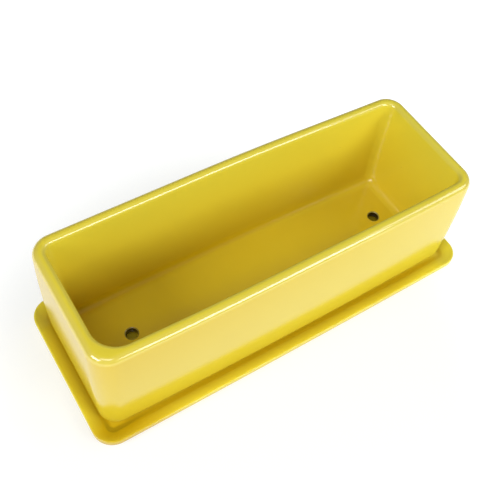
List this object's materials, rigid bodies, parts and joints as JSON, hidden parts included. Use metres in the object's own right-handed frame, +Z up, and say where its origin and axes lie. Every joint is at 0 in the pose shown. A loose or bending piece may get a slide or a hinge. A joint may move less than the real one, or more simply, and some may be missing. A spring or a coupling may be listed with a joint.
{
  "type": "indoor herb planter",
  "caption": "Long glazed ceramic planter trough with a rounded rim and drain holes in its floor, lifting out of a matching shallow drip saucer.",
  "frame": {"origin": "on the table, under the middle of the saucer's foot ring", "axes": "+X along the planter's length, +Y towards its back, +Z up out of the open top"},
  "size_m": [0.316, 0.1254, 0.099],
  "materials": {
    "yellow_glaze": "gloss"
  },
  "bodies": {
    "saucer": {"saucer": "yellow_glaze"},
    "trough": {"planter_trough": "yellow_glaze"}
  },
  "joints": [
    {"name": "trough_lift", "type": "slide", "parent": "saucer", "child": "trough", "axis": [0, 0, 1], "range_m": [0, 0.12]}
  ]
}
